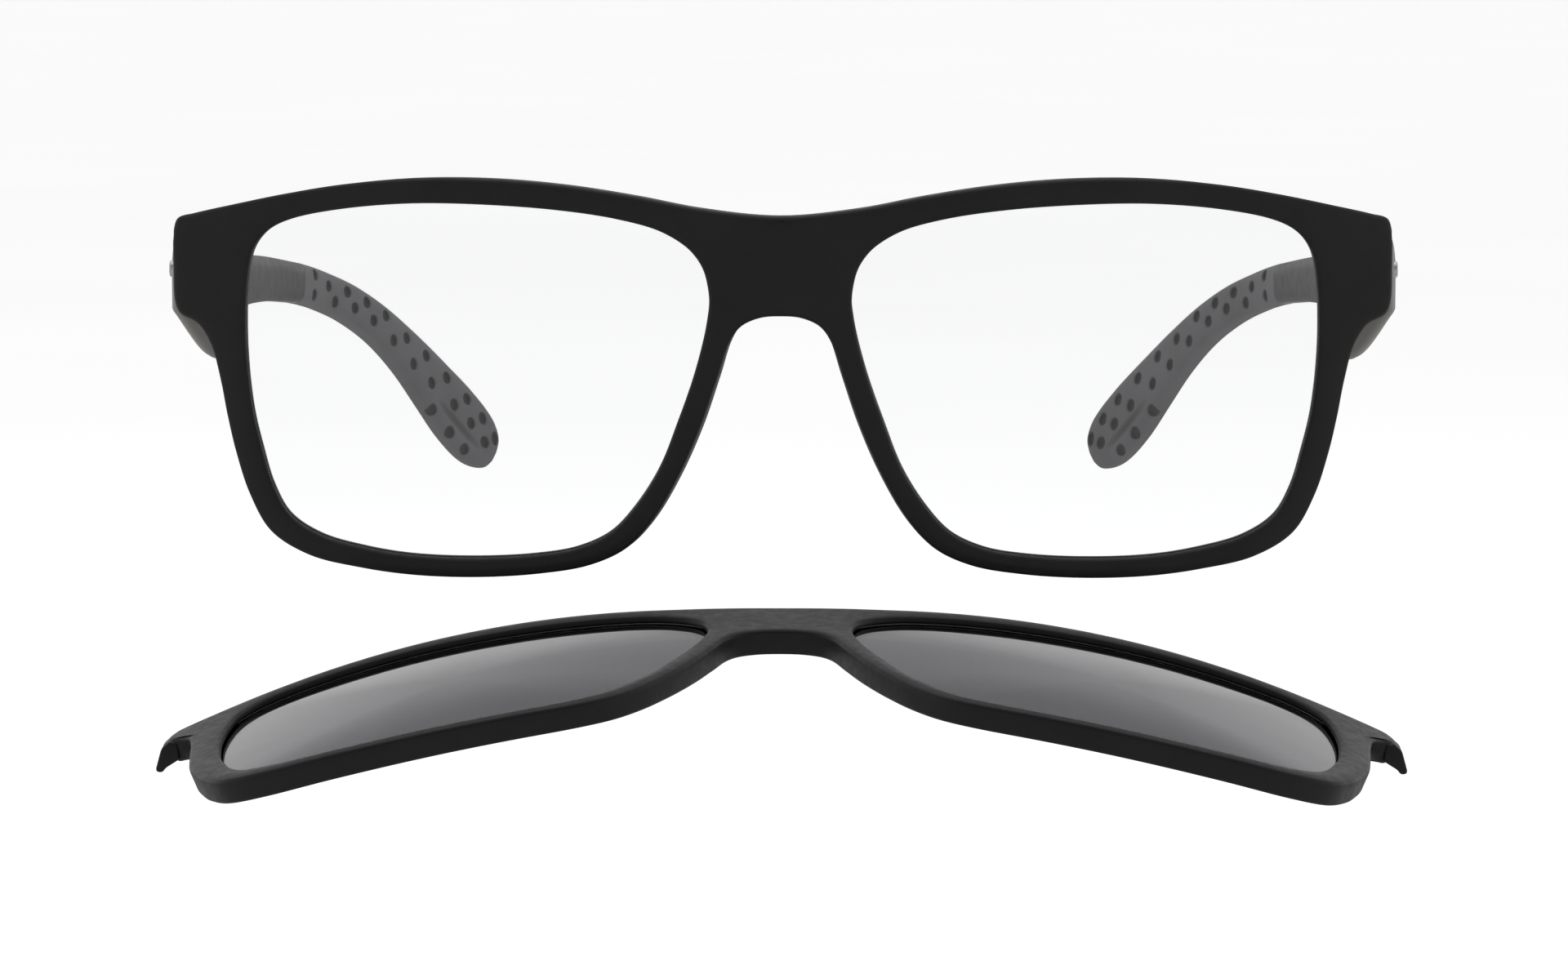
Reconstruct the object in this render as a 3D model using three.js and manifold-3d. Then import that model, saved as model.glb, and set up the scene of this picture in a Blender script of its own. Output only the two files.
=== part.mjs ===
// A spectacle frame and its magnetic clip-on sun-lens front.
// Millimetres, +Z up. X runs across the face, -Y is forwards, and right means +X throughout.
// The origin is the top of the nose arch, where the saddle sits on the wearer's nose.
// The clip-on is laid below the front with its outer face up; clipOn holds it in its worn place.
import * as THREE from "three";
import { mergeVertices } from "three/addons/utils/BufferGeometryUtils.js";
import Module from "manifold-3d";

const wasm = await Module();
wasm.setup();

const DEG = Math.PI / 180;

// ---- driving dimensions -------------------------------------------------

const WRAP_RADIUS = 176; // the front curves back round an upright axis
const FRONT_Y = -3; // outer surface of the front at the bridge
const WRAP_CENTRE_Y = FRONT_Y + WRAP_RADIUS;

const EDGE_BEVEL = 0.5; // bevel along the edges of the front
const FIT_GAP = 0.3; // clearance between pieces that touch
const LENS_BITE = 0.5; // how far a lens reaches into its groove

const FRONT_GROOVE = { from: 0.9, to: 2.9, deep: 0.8 }; // depths behind the outer surface
const FRONT_LENS = { from: 1.2, to: 2.6 };

const CLIP_THICKNESS = 3.0;
const CLIP_BEVEL = 0.6;
const CLIP_BACK = -FIT_GAP; // the clip's back stands this far off the front
const CLIP_FACE = CLIP_BACK - CLIP_THICKNESS;
const CLIP_GROOVE = { from: CLIP_FACE + 0.8, to: CLIP_BACK - 0.6, deep: 0.8 };
const CLIP_LENS = { from: CLIP_GROOVE.from + FIT_GAP, to: CLIP_GROOVE.to - FIT_GAP };

const END_X = 72.5; // flat outer side of each end piece
const END_BACK_Y = 18; // flat back of each end piece, which the temple butts on
const MAGNET_Z = 8.6;
const CLIP_MAGNET = { x: 72.5, y: 10.8, radius: 0.8, length: 1.2 };
const FRAME_MAGNET = { x: 71.5, y: 14.3, radius: 1.0, length: 1.6 };

// Each temple turns about an upright screw through three knuckles of equal height.
const HINGE = { x: 67, y: 20.4, bottom: 0.9, knuckle: 2.4, radius: 1.6, bore: 0.9, screw: 0.6 };
const HINGE_MIDDLE = HINGE.bottom + HINGE.knuckle + FIT_GAP;
const HINGE_UPPER = HINGE_MIDDLE + HINGE.knuckle + FIT_GAP;
const HINGE_TOP = HINGE_UPPER + HINGE.knuckle;
const LEAF = { from: END_BACK_Y + FIT_GAP, to: 19.1, inner: 64.9, outer: 68.9 };
const LEAF_TANG = { x0: 65.6, x1: 68.4, y0: 15.6, z0: 2.2, z1: 7.4 };
const TEMPLE_LEAF = { x0: 68.7, x1: 69.6, y0: 22.4, y1: 31, z0: 2.0, z1: 7.6 };
const TEMPLE_TANG = { x1: 71, y0: 23.4, y1: 30, z0: 2.8, z1: 6.8 };
const STUD = { x: 73.95, y: 22, z: 4.1, radius: 1.0, length: 0.9 };

// Sections of the right temple and its sleeve: x, y, z of the centre, half thickness, half height,
// and how far the foot of the section leans inwards.
const SLEEVE_START = 93;
const TEMPLE = [
  [71.5, END_BACK_Y + 0.5, 1.0, 1.85, 7.6, 3.7],
  [71.55, 20, 1.0, 1.9, 7.6, 3.65],
  [72.0, 23, 1.0, 2.0, 7.6, 3.4],
  [72.2, 28, 1.1, 2.05, 7.3, 3.0],
  [71.8, 38, 1.2, 1.95, 6.0, 1.8],
  [71.1, 50, 0.9, 1.75, 4.3, 0.5],
  [70.0, 63, 0.3, 1.65, 3.4, 0],
  [68.4, 78, -0.5, 1.75, 2.95, 0],
  [66.0, SLEEVE_START, -1.9, 1.85, 2.7, 0],
];
const LEAN = { from: 0.25, power: 0.9 }; // from this share of the half height below the middle
const SLEEVE = [
  [66.0, SLEEVE_START, -1.9, 1.9, 2.75],
  [64.9, 99, -2.7, 1.9, 2.7],
  [63.4, 105, -3.8, 1.9, 2.65],
  [60.5, 112, -5.9, 1.8, 2.7],
  [57.0, 120, -9.4, 1.75, 2.85],
  [53.6, 128, -14.0, 1.75, 3.3],
  [50.2, 135, -19.3, 1.75, 4.1],
  [47.2, 140, -23.9, 1.7, 4.6],
  [45.0, 143.3, -27.0, 1.55, 4.4],
  [43.6, 145.1, -28.8, 1.35, 3.65],
  [42.7, 146.2, -29.9, 1.0, 2.6],
  [42.3, 146.7, -30.4, 0.6, 1.3],
];
const SPLAY = 0.7 * DEG; // how far each temple stands open beyond the square
const TONGUE = { sections: 5, halfThickness: 0.7, halfHeight: 1.5 };

// The clip-on lies tipped back by REST_TILT, with its magnets' line at REST_AXIS.
const REST_TILT = 84 * DEG;
const REST_AXIS = { y: 2.4, z: -52.1 };

// One row per rib of the right half, clockwise from the middle of the brow as seen from the front:
// opening x, z; outline x, z; depth of the rim behind its outer surface. x is measured along
// the curved face. The last rows climb the middle of the bridge back to the first.
const RIBS = [
  [11.2, 8.2, 0, 11.6, 4.6],
  [14.2, 9.9, 9.5, 12.5, 4.4],
  [19.0, 11.2, 17.0, 13.9, 4.0],
  [25.5, 12.15, 25.2, 15.1, 4.0],
  [34.0, 12.75, 34.0, 15.8, 4.0],
  [43.5, 12.85, 43.5, 15.8, 4.0],
  [52.0, 12.15, 52.5, 15.0, 4.0],
  [58.5, 10.95, 60.5, 13.7, 4.2],
  [61.4, 9.8, 67.0, 12.4, 4.5],
  [63.0, 8.5, 72.3, 11.3, 4.5],
  [64.0, 7.0, 74.5, 10.7, 4.5],
  [64.5, 5.2, 75.05, 9.5, 4.5],
  [64.8, 3.0, 75.2, 5.0, 4.5],
  [65.0, 0.8, 75.0, 0.6, 4.5],
  [65.05, -1.0, 74.3, -0.75, 4.5],
  [65.05, -3.0, 71.75, -2.0, 4.5],
  [64.95, -5.2, 70.0, -4.4, 4.3],
  [64.65, -8.5, 68.75, -8.5, 4.0],
  [64.05, -12.5, 67.85, -12.7, 4.0],
  [63.0, -16.5, 66.75, -17.0, 4.0],
  [61.6, -20.8, 64.95, -22.0, 4.0],
  [59.5, -24.2, 62.2, -26.3, 4.0],
  [55.6, -26.5, 57.2, -29.0, 4.0],
  [50.0, -27.85, 50.5, -30.3, 4.0],
  [44.0, -28.6, 44.0, -30.95, 4.0],
  [36.0, -28.7, 36.0, -31.0, 4.0],
  [28.8, -28.2, 28.4, -30.4, 4.0],
  [23.9, -27.3, 22.5, -29.3, 4.0],
  [20.0, -25.5, 18.2, -27.3, 4.4],
  [17.2, -22.6, 15.1, -24.1, 5.2],
  [14.3, -18.1, 12.0, -18.9, 6.6],
  [12.1, -12.6, 9.4, -13.1, 7.6],
  [10.2, -7.2, 7.4, -7.4, 7.8],
  [9.0, -2.8, 5.9, -3.0, 7.2],
  [8.5, -0.2, 4.6, -1.2, 6.2],
  [8.3, 1.7, 2.4, -0.2, 5.4],
  [8.5, 3.6, 0, 0, 5.0],
  [9.0, 5.4, 0, 4, 4.8],
  [9.9, 6.9, 0, 8, 4.7],
];
const MIDDLE_ROW = 36; // the outline reaches the middle of the bridge again here
const RIB_STEPS = 2;

// The clip-on has the same outline, but for a shallower end piece: rows 10 to 17.
const CLIP_END = [
  [72.9, 10.6],
  [73.4, 9.6],
  [73.4, 8.4],
  [72.9, 7.3],
  [71.6, 6.4],
  [70.4, 4.8],
  [69.5, 0.6],
  [68.8, -5.6],
];
const CLIP_END_ROW = 10;

// ---- solids -------------------------------------------------------------

// A geometry with its faces turned outwards.
function facedOut(geometry) {
  const p = geometry.getAttribute("position");
  const order = geometry.index.array;
  const [a, b, c] = [0, 0, 0].map(() => new THREE.Vector3());
  let volume = 0;
  for (let i = 0; i < order.length; i += 3) {
    a.fromBufferAttribute(p, order[i]);
    b.fromBufferAttribute(p, order[i + 1]);
    c.fromBufferAttribute(p, order[i + 2]);
    volume += a.dot(b.cross(c));
  }
  if (volume < 0) {
    for (let i = 0; i < order.length; i += 3) {
      [order[i + 1], order[i + 2]] = [order[i + 2], order[i + 1]];
    }
  }
  return geometry;
}

// Points and triangles as one closed geometry with shared vertices.
function closedGeometry(points, triangles) {
  const geometry = new THREE.BufferGeometry().setFromPoints(points);
  geometry.setIndex(triangles);
  return facedOut(mergeVertices(geometry, 1e-4));
}

// A three.js primitive, welded and turned outwards.
function welded(geometry) {
  geometry.deleteAttribute("normal");
  geometry.deleteAttribute("uv");
  return facedOut(mergeVertices(geometry, 1e-4));
}

function toSolid(geometry) {
  return new wasm.Manifold(
    new wasm.Mesh({
      numProp: 3,
      vertProperties: new Float32Array(geometry.getAttribute("position").array),
      triVerts: new Uint32Array(geometry.index.array),
    }),
  );
}

function toGeometry(solid) {
  const mesh = solid.getMesh();
  const geometry = new THREE.BufferGeometry();
  geometry.setAttribute("position", new THREE.BufferAttribute(mesh.vertProperties, 3));
  geometry.setIndex(new THREE.BufferAttribute(mesh.triVerts, 1));
  return geometry;
}

// base plus the added geometries, less the cut ones.
function combined(base, added, cut) {
  let solid = toSolid(base);
  for (const piece of added) solid = solid.add(toSolid(piece));
  for (const piece of cut) solid = solid.subtract(toSolid(piece));
  return toGeometry(solid);
}

// A box between two corners; x0 and x1 may come in either order.
function box(x0, x1, y0, y1, z0, z1) {
  const geometry = new THREE.BoxGeometry(Math.abs(x1 - x0), y1 - y0, z1 - z0);
  return welded(geometry.translate((x0 + x1) / 2, (y0 + y1) / 2, (z0 + z1) / 2));
}

// A cylinder along X or Z, centred on (x, y, z).
function rod(axis, x, y, z, radius, length, sides = 24) {
  const geometry = new THREE.CylinderGeometry(radius, radius, length, sides);
  if (axis === "x") geometry.rotateZ(90 * DEG);
  if (axis === "z") geometry.rotateX(90 * DEG);
  return welded(geometry.translate(x, y, z));
}

// An outline of [x, y] corners, extruded from z0 to z1.
function prism(corners, z0, z1) {
  const shape = new THREE.Shape(corners.map(([x, y]) => new THREE.Vector2(x, y)));
  const geometry = new THREE.ExtrudeGeometry(shape, { depth: z1 - z0, bevelEnabled: false });
  return welded(geometry.translate(0, 0, z0));
}

// An outline of [x, z] corners, extruded from y0 to y1.
function uprightPrism(corners, y0, y1) {
  return facedOut(prism(corners, -y1, -y0).rotateX(90 * DEG));
}

// ---- the curved front and everything that shares its curve ---------------

// A point at arc length x and height z, depth behind the outer surface of the front.
function onCurve(x, z, depth) {
  const angle = x / WRAP_RADIUS;
  const radius = WRAP_RADIUS - depth;
  return new THREE.Vector3(
    radius * Math.sin(angle),
    WRAP_CENTRE_Y - radius * Math.cos(angle),
    z,
  );
}

// Walls of an opening: a point of it at a depth. The front's run straight back, parallel to Y, and
// the clip's square to its face.
function straightWall(p, depth) {
  const across = WRAP_RADIUS * Math.sin(p.x / WRAP_RADIUS);
  return new THREE.Vector3(WRAP_RADIUS * Math.asin(across / (WRAP_RADIUS - depth)), p.y, 0);
}

function squareWall(p) {
  return p.clone();
}

// Stations round the opening: matched points of opening and outline, their normals into the
// material, and the rim's depth.
function stationsOf(rows) {
  const opening = new THREE.CatmullRomCurve3(
    rows.map(([x, z]) => new THREE.Vector3(x, z, 0)),
    true,
  );
  const half = rows.slice(0, MIDDLE_ROW + 1).map(([, , x, z]) => new THREE.Vector3(x, z, 0));
  const [before, after] = [half[1], half.at(-2)].map((p) => new THREE.Vector3(-p.x, p.y, 0));
  const outline = new THREE.CatmullRomCurve3([before, ...half, after]);
  const stations = [];
  for (let i = 0; i < rows.length * RIB_STEPS; i++) {
    const row = i / RIB_STEPS;
    const [from, to] = [Math.floor(row), (Math.floor(row) + 1) % rows.length];
    const blend = row - from;
    const middle = row > MIDDLE_ROW;
    const outer = middle
      ? new THREE.Vector3(0, THREE.MathUtils.lerp(rows[from][3], rows[to][3], blend), 0)
      : outline.getPoint((row + 1) / (MIDDLE_ROW + 2));
    stations.push({
      opening: opening.getPoint(row / rows.length),
      outer,
      middle,
      depth: THREE.MathUtils.lerp(rows[from][4], rows[to][4], blend),
    });
  }
  stations.forEach((station, i) => {
    const next = stations[(i + 1) % stations.length];
    const last = stations[(i + stations.length - 1) % stations.length];
    station.openingNormal = leftOf(last.opening, next.opening);
    station.outerNormal = leftOf(last.outer, next.outer).negate();
  });
  const [top, bottom] = [stations[0], stations[MIDDLE_ROW * RIB_STEPS]];
  top.outerNormal.set(0, -1, 0);
  bottom.outerNormal.set(0, 1, 0);
  for (const station of [top, bottom]) station.outer.x = 0;
  return stations;
}

function leftOf(from, to) {
  return new THREE.Vector3(from.y - to.y, to.x - from.x, 0).normalize();
}

// Both rims and the bridge as one body. section(station) gives the rim's section as
// [point, depth] pairs whose last, first, second and third points make its outer wall.
function frontBody(stations, section) {
  const points = [];
  const triangles = [];
  for (const side of [1, -1]) {
    const start = points.length;
    const rings = stations.map((station) =>
      section(station).map(([p, depth]) => onCurve(side * p.x, p.y, depth)),
    );
    const size = rings[0].length;
    rings.forEach((ring) => points.push(...ring));
    rings.forEach((ring, i) => {
      const j = (i + 1) % rings.length;
      const inBridge = stations[i].middle || stations[j].middle;
      for (let k = 0; k < size; k++) {
        const l = (k + 1) % size;
        if (inBridge && (k < 2 || k === size - 1)) continue;
        const [a, b, c, d] = [[i, k], [i, l], [j, l], [j, k]].map(([r, q]) => start + r * size + q);
        if (side > 0) triangles.push(a, b, c, a, c, d);
        else triangles.push(a, c, b, a, d, c);
      }
    });
  }
  return closedGeometry(points, triangles);
}

// A rim's section, with a groove for the lens in the wall of its opening.
function grooved(station, face, back, bevel, groove, wall) {
  const { opening, outer, openingNormal, outerNormal, middle } = station;
  const edge = (distance, depth) => [
    wall(opening.clone().addScaledVector(openingNormal, distance), depth),
    depth,
  ];
  const rim = outer.clone().addScaledVector(outerNormal, middle ? 0 : bevel);
  return [
    [outer, middle ? back : back - bevel],
    [outer, middle ? face : face + bevel],
    [rim, face],
    edge(bevel, face),
    edge(0, face + bevel),
    edge(0, groove.from),
    edge(groove.deep, groove.from),
    edge(groove.deep, groove.to),
    edge(0, groove.to),
    edge(0, back - bevel / 2),
    edge(bevel / 2, back),
    [rim, back],
  ];
}

// A lens filling the opening, curved with the front, with its edge in the groove.
function lensBody(stations, side, lens, wall) {
  const centre = new THREE.Vector3(37, -7.5, 0);
  const shares = [1, 0.97, 0.72, 0.38];
  const points = [];
  const triangles = [];
  const rims = [lens.from, lens.to].map((depth) =>
    shares.map((share) => {
      const start = points.length;
      for (const { opening, openingNormal } of stations) {
        const edge = opening.clone().addScaledVector(openingNormal, LENS_BITE);
        const p = centre.clone().lerp(wall(edge, depth), share);
        points.push(onCurve(side * p.x, p.y, depth));
      }
      return start;
    }),
  );
  const count = stations.length;
  const strip = (from, to) => {
    for (let i = 0; i < count; i++) {
      const j = (i + 1) % count;
      triangles.push(from + i, from + j, to + j, from + i, to + j, to + i);
    }
  };
  const fan = (ring, hub, turned) => {
    for (let i = 0; i < count; i++) {
      const j = (i + 1) % count;
      triangles.push(...(turned ? [hub, ring + j, ring + i] : [hub, ring + i, ring + j]));
    }
  };
  const [face, back] = rims;
  for (let i = 1; i < shares.length; i++) {
    strip(face[i], face[i - 1]);
    strip(back[i - 1], back[i]);
  }
  strip(face[0], back[0]);
  points.push(onCurve(side * centre.x, centre.y, lens.from));
  fan(face.at(-1), points.length - 1, true);
  points.push(onCurve(side * centre.x, centre.y, lens.to));
  fan(back.at(-1), points.length - 1, false);
  return closedGeometry(points, triangles);
}

const frontStations = stationsOf(RIBS);
const clipRows = RIBS.map((row, i) => {
  const end = CLIP_END[i - CLIP_END_ROW];
  return end ? [row[0], row[1], end[0], end[1], row[4]] : row;
});
const clipStations = stationsOf(clipRows);
const lensStations = frontStations.filter((_, i) => i % 2 === 0);

function frontFrame() {
  const rim = frontBody(frontStations, (station) =>
    grooved(station, 0, station.depth, EDGE_BEVEL, FRONT_GROOVE, straightWall),
  );
  const blocks = [];
  const pockets = [];
  for (const side of [1, -1]) {
    blocks.push(endBlock(side));
    pockets.push(magnetPocket(side, FRAME_MAGNET));
    const tang = LEAF_TANG;
    pockets.push(
      box(
        side * (tang.x0 - FIT_GAP),
        side * (tang.x1 + FIT_GAP),
        tang.y0 - FIT_GAP,
        END_BACK_Y + 1,
        tang.z0 - FIT_GAP,
        tang.z1 + FIT_GAP,
      ),
    );
  }
  return combined(rim, blocks, pockets);
}

// The end piece's block behind the rim: its plan and its front view, and what they share.
function endBlock(side) {
  const plan = [
    [64.6, 14.5],
    [67.5, 13.2],
    [END_X - 0.6, 12.9],
    [END_X, 13.5],
    [END_X, END_BACK_Y],
    [64.6, END_BACK_Y],
  ];
  const view = [
    [64.6, 0.6],
    [71.2, 0.6],
    [72.1, 1.0],
    [END_X, 1.8],
    [END_X, 8.8],
    [72.2, 9.8],
    [71.4, 10.6],
    [64.6, 11.2],
  ];
  const mirrored = (corners) => corners.map(([a, b]) => [side * a, b]);
  const column = prism(mirrored(plan), 0, 12);
  const slab = uprightPrism(mirrored(view), 12, END_BACK_Y + 1);
  return toGeometry(toSolid(column).intersect(toSolid(slab)));
}

function clipFrame() {
  const rim = frontBody(clipStations, (station) =>
    grooved(station, CLIP_FACE, CLIP_BACK, CLIP_BEVEL, CLIP_GROOVE, squareWall),
  );
  const hooks = [];
  const pockets = [];
  for (const side of [1, -1]) {
    const corners = [
      [71.0, 9.2],
      [72.1, 9.0],
      [73.1, 9.9],
      [73.8, 12.4],
      [73.6, 12.75],
      [72.95, 12.75],
      [72.65, 12.25],
      [71.0, 11.2],
    ];
    hooks.push(prism(corners.map(([x, y]) => [side * x, y]), 6.7, 10.1));
    pockets.push(magnetPocket(side, CLIP_MAGNET));
  }
  return combined(rim, hooks, pockets);
}

function magnetDisc(side, magnet) {
  return rod("x", side * magnet.x, magnet.y, MAGNET_Z, magnet.radius, magnet.length);
}

// A round pocket for a magnet disc, open towards the side.
function magnetPocket(side, magnet) {
  const depth = 3;
  const x = magnet.x - magnet.length / 2 - FIT_GAP + depth / 2;
  return rod("x", side * x, magnet.y, MAGNET_Z, magnet.radius + FIT_GAP, depth);
}

// ---- temples and hinges ---------------------------------------------------

// A body through rounded sections that stand square to its path, closed at both ends.
function loft(side, sections, sides = 16) {
  const squareness = 2 / 3.2;
  const centres = sections.map(([x, y, z]) => new THREE.Vector3(side * x, y, z));
  const points = [];
  sections.forEach(([, , , halfThickness, halfHeight, lean], i) => {
    const path = centres[Math.min(i + 1, centres.length - 1)].clone();
    path.sub(centres[Math.max(i - 1, 0)]).normalize();
    const across = path.clone().cross(new THREE.Vector3(0, 0, 1)).normalize();
    const upward = across.clone().cross(path);
    for (let k = 0; k < sides; k++) {
      const angle = ((k + 0.5) / sides) * 2 * Math.PI;
      const [c, s] = [Math.cos(angle), Math.sin(angle)];
      const [wide, tall] = [c, s].map((v) => Math.sign(v) * Math.abs(v) ** squareness);
      const point = centres[i].clone();
      point.addScaledVector(across, halfThickness * wide);
      point.addScaledVector(upward, halfHeight * tall);
      if (lean) {
        const share = Math.max(0, -tall - LEAN.from) / (1 - LEAN.from);
        point.x -= side * lean * share ** LEAN.power;
      }
      points.push(point);
    }
  });
  const triangles = [];
  const last = (sections.length - 1) * sides;
  const hub = points.length;
  points.push(centres[0], centres.at(-1));
  for (let k = 0; k < sides; k++) {
    const l = (k + 1) % sides;
    for (let ring = 0; ring < last; ring += sides) {
      triangles.push(ring + k, ring + l, ring + sides + l, ring + k, ring + sides + l, ring + sides + k);
    }
    triangles.push(hub, l, k, hub + 1, last + k, last + l);
  }
  return closedGeometry(points, triangles);
}

// Sections of the temple's tongue inside the sleeve, grown all round by a margin.
function tongueSections(margin) {
  return SLEEVE.slice(0, TONGUE.sections).map(([x, y, z]) => [
    x,
    y,
    z,
    TONGUE.halfThickness + margin,
    TONGUE.halfHeight + margin,
  ]);
}

// The section at the end of a stretch, moved on along the stretch by a distance.
function beyond(from, to, distance) {
  const step = new THREE.Vector3(...to).sub(new THREE.Vector3(...from)).setLength(distance);
  return [to[0] + step.x, to[1] + step.y, to[2] + step.z, to[3], to[4]];
}

function temple(side) {
  const arm = loft(side, [...TEMPLE, ...tongueSections(0)], 24);
  const tang = TEMPLE_TANG;
  const seat = box(
    side * (TEMPLE_LEAF.x0 - FIT_GAP),
    side * (tang.x1 + FIT_GAP),
    tang.y0 - FIT_GAP,
    tang.y1 + FIT_GAP,
    tang.z0 - FIT_GAP,
    tang.z1 + FIT_GAP,
  );
  const studSeat = rod("x", side * STUD.x, STUD.y, STUD.z, STUD.radius + FIT_GAP, STUD.length + 2 * FIT_GAP);
  return combined(arm, [], [seat, studSeat]);
}

function sleeve(side) {
  const start = beyond(SLEEVE[1], SLEEVE[0], -2 * FIT_GAP);
  const socket = tongueSections(FIT_GAP);
  socket[0] = beyond(socket[1], socket[0], 2);
  socket[socket.length - 1] = beyond(socket.at(-2), socket.at(-1), FIT_GAP);
  return combined(loft(side, [start, ...SLEEVE.slice(1)]), [], [loft(side, socket)]);
}

function knuckle(side, bottom) {
  const { x, y, radius, knuckle: height } = HINGE;
  return rod("z", side * x, y, bottom + height / 2, radius, height);
}

function hingeBore(side) {
  const height = HINGE_TOP - HINGE.bottom + 2;
  return rod("z", side * HINGE.x, HINGE.y, HINGE.bottom - 1 + height / 2, HINGE.bore, height);
}

function frontLeaf(side) {
  const plate = box(side * LEAF.inner, side * LEAF.outer, LEAF.from, LEAF.to, HINGE.bottom, HINGE_TOP);
  const { x0, x1, y0, z0, z1 } = LEAF_TANG;
  const added = [box(side * x0, side * x1, y0, LEAF.from + 0.1, z0, z1)];
  for (const bottom of [HINGE.bottom, HINGE_UPPER]) {
    const [inner, outer] = [HINGE.x - HINGE.radius + 0.2, HINGE.x + HINGE.radius - 0.2];
    added.push(knuckle(side, bottom));
    added.push(
      box(side * inner, side * outer, LEAF.to - 0.2, HINGE.y, bottom, bottom + HINGE.knuckle),
    );
  }
  const height = HINGE.knuckle + 2 * FIT_GAP;
  const middle = HINGE_MIDDLE + HINGE.knuckle / 2;
  const room = rod("z", side * HINGE.x, HINGE.y, middle, HINGE.radius + FIT_GAP, height);
  return combined(plate, added, [hingeBore(side), room]);
}

function templeLeaf(side) {
  const { x0, x1, y0, y1, z0, z1 } = TEMPLE_LEAF;
  const plate = box(side * x0, side * x1, y0, y1, z0, z1);
  const tang = TEMPLE_TANG;
  const link = [
    [67.0, 21.6],
    [68.4, 20.6],
    [x1, 22.5],
    [x1, 24.5],
    [x0, 24.5],
    [67.6, 22.6],
  ];
  const added = [
    knuckle(side, HINGE_MIDDLE),
    prism(link.map(([x, y]) => [side * x, y]), HINGE_MIDDLE, HINGE_MIDDLE + HINGE.knuckle),
    box(side * (x1 - 0.1), side * tang.x1, tang.y0, tang.y1, tang.z0, tang.z1),
  ];
  return combined(plate, added, [hingeBore(side)]);
}

function hingeScrew(side) {
  const [foot, neck] = [HINGE.bottom, HINGE_TOP + FIT_GAP];
  const outline = [
    [0, foot],
    [HINGE.screw, foot],
    [HINGE.screw, neck],
    [1.3, neck],
    [1.3, neck + 0.5],
    [1.1, neck + 0.7],
    [0, neck + 0.7],
  ];
  const turned = new THREE.LatheGeometry(outline.map(([r, z]) => new THREE.Vector2(r, z)), 20);
  turned.rotateX(90 * DEG);
  const body = welded(turned.translate(side * HINGE.x, HINGE.y, 0));
  const x = side * HINGE.x;
  const slot = box(x - 0.2, x + 0.2, HINGE.y - 2, HINGE.y + 2, neck + 0.4, neck + 1);
  return combined(body, [], [slot]);
}

function stud(side) {
  return rod("x", side * STUD.x, STUD.y, STUD.z, STUD.radius, STUD.length);
}

const part = new THREE.Group();
const clipOn = new THREE.Group();
part.add(clipOn);

const matteBlack = new THREE.MeshStandardMaterial({ color: 0x242426, roughness: 0.6 });
const clearLens = new THREE.MeshStandardMaterial({ color: 0xf4f6f6, roughness: 0.05 });
const smokeLens = new THREE.MeshStandardMaterial({ color: 0x74757d, roughness: 0.12 });
const greyArm = new THREE.MeshStandardMaterial({ color: 0x5e5f60, roughness: 0.55 });
const rubber = new THREE.MeshStandardMaterial({ color: 0x515253, roughness: 0.8 });
const steel = new THREE.MeshStandardMaterial({ color: 0xb8b8ba, roughness: 0.3, metalness: 1 });

// A group turned clockwise by an angle, seen from above, about the upright line through x, y.
function openedBy(angle, x, y) {
  const group = new THREE.Group();
  group.rotation.z = -angle;
  const pin = new THREE.Vector3(x, y, 0);
  group.position.copy(pin).sub(pin.clone().applyEuler(group.rotation));
  return group;
}

function add(parent, name, geometry, material) {
  const mesh = new THREE.Mesh(geometry, material);
  mesh.name = name;
  parent.add(mesh);
}

add(part, "front_frame", frontFrame(), matteBlack);
add(clipOn, "clip_frame", clipFrame(), matteBlack);
for (const [hand, side] of [["right", 1], ["left", -1]]) {
  add(part, `front_lens_${hand}`, lensBody(lensStations, side, FRONT_LENS, straightWall), clearLens);
  add(part, `frame_magnet_${hand}`, magnetDisc(side, FRAME_MAGNET), steel);
  add(part, `front_hinge_leaf_${hand}`, frontLeaf(side), steel);
  add(part, `hinge_screw_${hand}`, hingeScrew(side), steel);
  const swing = openedBy(side * SPLAY, side * HINGE.x, HINGE.y);
  part.add(swing);
  add(swing, `temple_hinge_leaf_${hand}`, templeLeaf(side), steel);
  add(swing, `temple_${hand}`, temple(side), greyArm);
  add(swing, `temple_sleeve_${hand}`, sleeve(side), rubber);
  add(swing, `temple_stud_${hand}`, stud(side), steel);
  add(clipOn, `sun_lens_${hand}`, lensBody(lensStations, side, CLIP_LENS, squareWall), smokeLens);
  add(clipOn, `clip_magnet_${hand}`, magnetDisc(side, CLIP_MAGNET), steel);
}

// Tip the clip-on back about its magnets' line and carry that line to its resting place.
clipOn.rotation.x = -REST_TILT;
const worn = new THREE.Vector3(0, CLIP_MAGNET.y, MAGNET_Z).applyEuler(clipOn.rotation);
clipOn.position.set(0, REST_AXIS.y - worn.y, REST_AXIS.z - worn.z);

export default part;
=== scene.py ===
"""The looks of a spectacle frame and its clip-on sun front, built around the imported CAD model.

Shapes are worked out in millimetres, in the part's own frame, and scaled to metres when a piece is
finished. right means +X, and each function for a lens, temple or sleeve makes either side.
"""

import math

import bmesh
import bpy
import numpy as np
from mathutils import Euler, Matrix, Vector


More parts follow.
